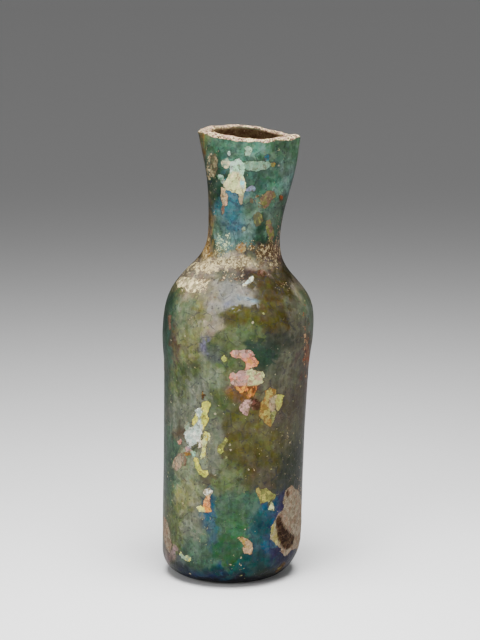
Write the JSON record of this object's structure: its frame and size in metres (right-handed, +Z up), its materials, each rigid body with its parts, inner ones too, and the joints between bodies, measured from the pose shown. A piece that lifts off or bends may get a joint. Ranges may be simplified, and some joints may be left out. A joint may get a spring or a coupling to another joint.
{
  "type": "flask",
  "caption": "Free-blown glass flask with a leaning cylindrical body, a slanting shoulder and a neck whose mouth is pressed into an almond, under weathering crust.",
  "frame": {"origin": "on the plane that the flask stands on, under the middle of its bounding box", "axes": "+Z up along the flask's height, -Y towards the front, +X towards the side that the flask leans to"},
  "size_m": [0.0496, 0.0494, 0.1484],
  "materials": {
    "weathered_glass": "satin"
  },
  "bodies": {
    "root": {"flask": "weathered_glass"}
  },
  "joints": []
}
